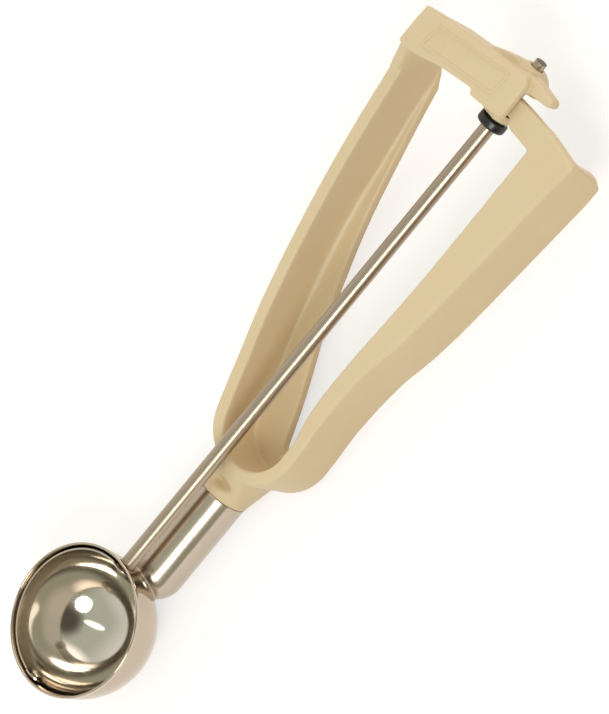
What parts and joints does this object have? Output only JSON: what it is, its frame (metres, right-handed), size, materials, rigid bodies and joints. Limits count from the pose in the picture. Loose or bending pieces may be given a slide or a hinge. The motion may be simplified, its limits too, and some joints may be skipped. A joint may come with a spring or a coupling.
{
  "type": "squeeze-handle ice cream scoop",
  "caption": "Ice cream scoop with a hemispherical steel bowl and a sprung moulded handle; squeezing the lever turns a long rod that sweeps a thin scraper blade round the bowl.",
  "frame": {"origin": "middle of the whole part's box in plan, on its lowest level, with the bowl open upwards", "axes": "+X along the drive rod from the bowl to the head of the handle, +Z the way the bowl opens, +Y towards the fixed lever"},
  "size_m": [0.2328, 0.071, 0.0319],
  "materials": {
    "steel": "polished stainless steel",
    "plastic": "satin beige moulding",
    "black_plastic": "satin black"
  },
  "bodies": {
    "handle": {"bowl": "steel", "stem_tube": "steel", "blade_pivot_rivet": "steel", "rod_bush": "black_plastic", "handle_frame": "plastic"},
    "rod": {"drive_rod": "steel", "scraper_blade": "steel", "pinion": "steel", "pinion_pin": "steel"},
    "lever": {"squeeze_lever": "plastic"}
  },
  "joints": [
    {"name": "lever_squeeze", "type": "hinge", "parent": "handle", "child": "lever", "pos_m": [-0.01988, -0.01738, 0.0102], "axis": [0, 0, 1], "range_deg": [0, 4.95], "stiffness_Nm_per_rad": 12},
    {"name": "rod_spin", "type": "hinge", "parent": "handle", "child": "rod", "pos_m": [-0.09435, 0, 0.0217], "axis": [-1, 0, 0], "range_deg": [0, 160]}
  ],
  "couplings": [
    {"joint": "rod_spin", "follows": "lever_squeeze", "ratio": 32.272}
  ]
}
